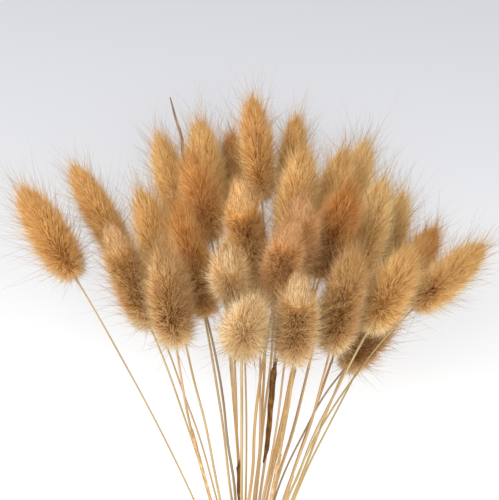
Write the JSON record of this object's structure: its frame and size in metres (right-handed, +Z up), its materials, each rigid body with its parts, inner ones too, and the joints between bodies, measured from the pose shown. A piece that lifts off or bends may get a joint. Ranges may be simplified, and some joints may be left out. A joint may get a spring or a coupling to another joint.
{
  "type": "bunch of dried bunny tail grass",
  "caption": "Fanned bunch of dried bunny tail grass, bound with twine and lying down: soft golden oval seed heads with fine awns on thin straw stems.",
  "frame": {"origin": "middle of the bunch's box, on the surface that it lies on", "axes": "+Y up the bunch from the cut ends to the heads, +X across the fan, +Z up from the surface"},
  "size_m": [0.2302, 0.3604, 0.1139],
  "materials": {
    "plume": "soft dry hairs, golden tan",
    "straw": "smooth dry straw",
    "dry_leaf": "dry brown blade",
    "twine": "twisted natural fibre"
  },
  "bodies": {
    "root": {"head_01": "plume", "head_02": "plume", "head_03": "plume", "head_04": "plume", "head_05": "plume", "head_06": "plume", "head_07": "plume", "head_08": "plume", "head_09": "plume", "head_10": "plume", "head_11": "plume", "head_12": "plume", "head_13": "plume", "head_14": "plume", "head_15": "plume", "head_16": "plume", "head_17": "plume", "head_18": "plume", "head_19": "plume", "head_20": "plume", "head_21": "plume", "head_22": "plume", "head_23": "plume", "head_24": "plume", "head_25": "plume", "head_26": "plume", "head_27": "plume", "head_28": "plume", "head_29": "plume", "stem_01": "straw", "stem_02": "straw", "stem_03": "straw", "stem_04": "straw", "stem_05": "straw", "stem_06": "straw", "stem_07": "straw", "stem_08": "straw", "stem_09": "straw", "stem_10": "straw", "stem_11": "straw", "stem_12": "straw", "stem_13": "straw", "stem_14": "straw", "stem_15": "straw", "stem_16": "straw", "stem_17": "straw", "stem_18": "straw", "stem_19": "straw", "stem_20": "straw", "stem_21": "straw", "stem_22": "straw", "stem_23": "straw", "stem_24": "straw", "stem_25": "straw", "stem_26": "straw", "stem_27": "straw", "stem_28": "straw", "stem_29": "straw", "leaf": "dry_leaf", "tie": "twine"}
  },
  "joints": []
}
